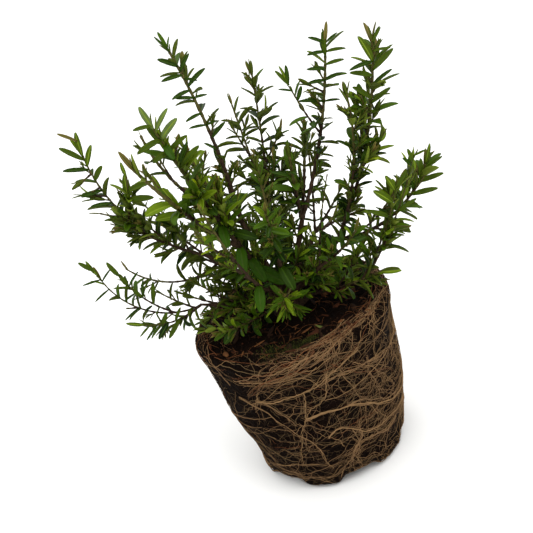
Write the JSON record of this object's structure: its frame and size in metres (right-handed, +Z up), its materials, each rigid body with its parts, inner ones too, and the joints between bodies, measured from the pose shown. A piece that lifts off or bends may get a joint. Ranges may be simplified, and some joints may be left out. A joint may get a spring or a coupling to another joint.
{
  "type": "hebe shrub on a bare root ball",
  "caption": "Young hebe shrub lifted out of its pot, with leafy upright shoots from a short trunk and a tapering root ball that stands on its flat underside.",
  "frame": {"origin": "middle of the root ball's flat underside, on the ground", "axes": "+Z up along the root ball's axis, +X to the right and -Y to the front as the plant is seen"},
  "size_m": [0.2856, 0.2185, 0.3497],
  "materials": {
    "root_ball": "matt, dark moist peat under a net of tan roots",
    "bark": "matt brown bark",
    "foliage": "satin green leaves on thin brown twigs"
  },
  "bodies": {
    "root": {"bough_back_high": "bark", "bough_back_left": "bark", "bough_back_left_high": "bark", "bough_back_low": "bark", "bough_back_right": "bark", "bough_front_left": "bark", "bough_front_mid": "bark", "bough_front_right": "bark", "bough_left_high": "bark", "bough_left_low": "bark", "bough_near_left": "bark", "bough_right": "bark", "bough_right_high": "bark", "foliage_back_high": "foliage", "foliage_back_left": "foliage", "foliage_back_left_high": "foliage", "foliage_back_low": "foliage", "foliage_back_right": "foliage", "foliage_front_left": "foliage", "foliage_front_mid": "foliage", "foliage_front_right": "foliage", "foliage_left_high": "foliage", "foliage_left_low": "foliage", "foliage_low_front": "foliage", "foliage_low_front_left": "foliage", "foliage_low_right": "foliage", "foliage_near_left": "foliage", "foliage_right": "foliage", "foliage_right_high": "foliage", "root_ball": "root_ball", "trunk": "bark"}
  },
  "joints": []
}
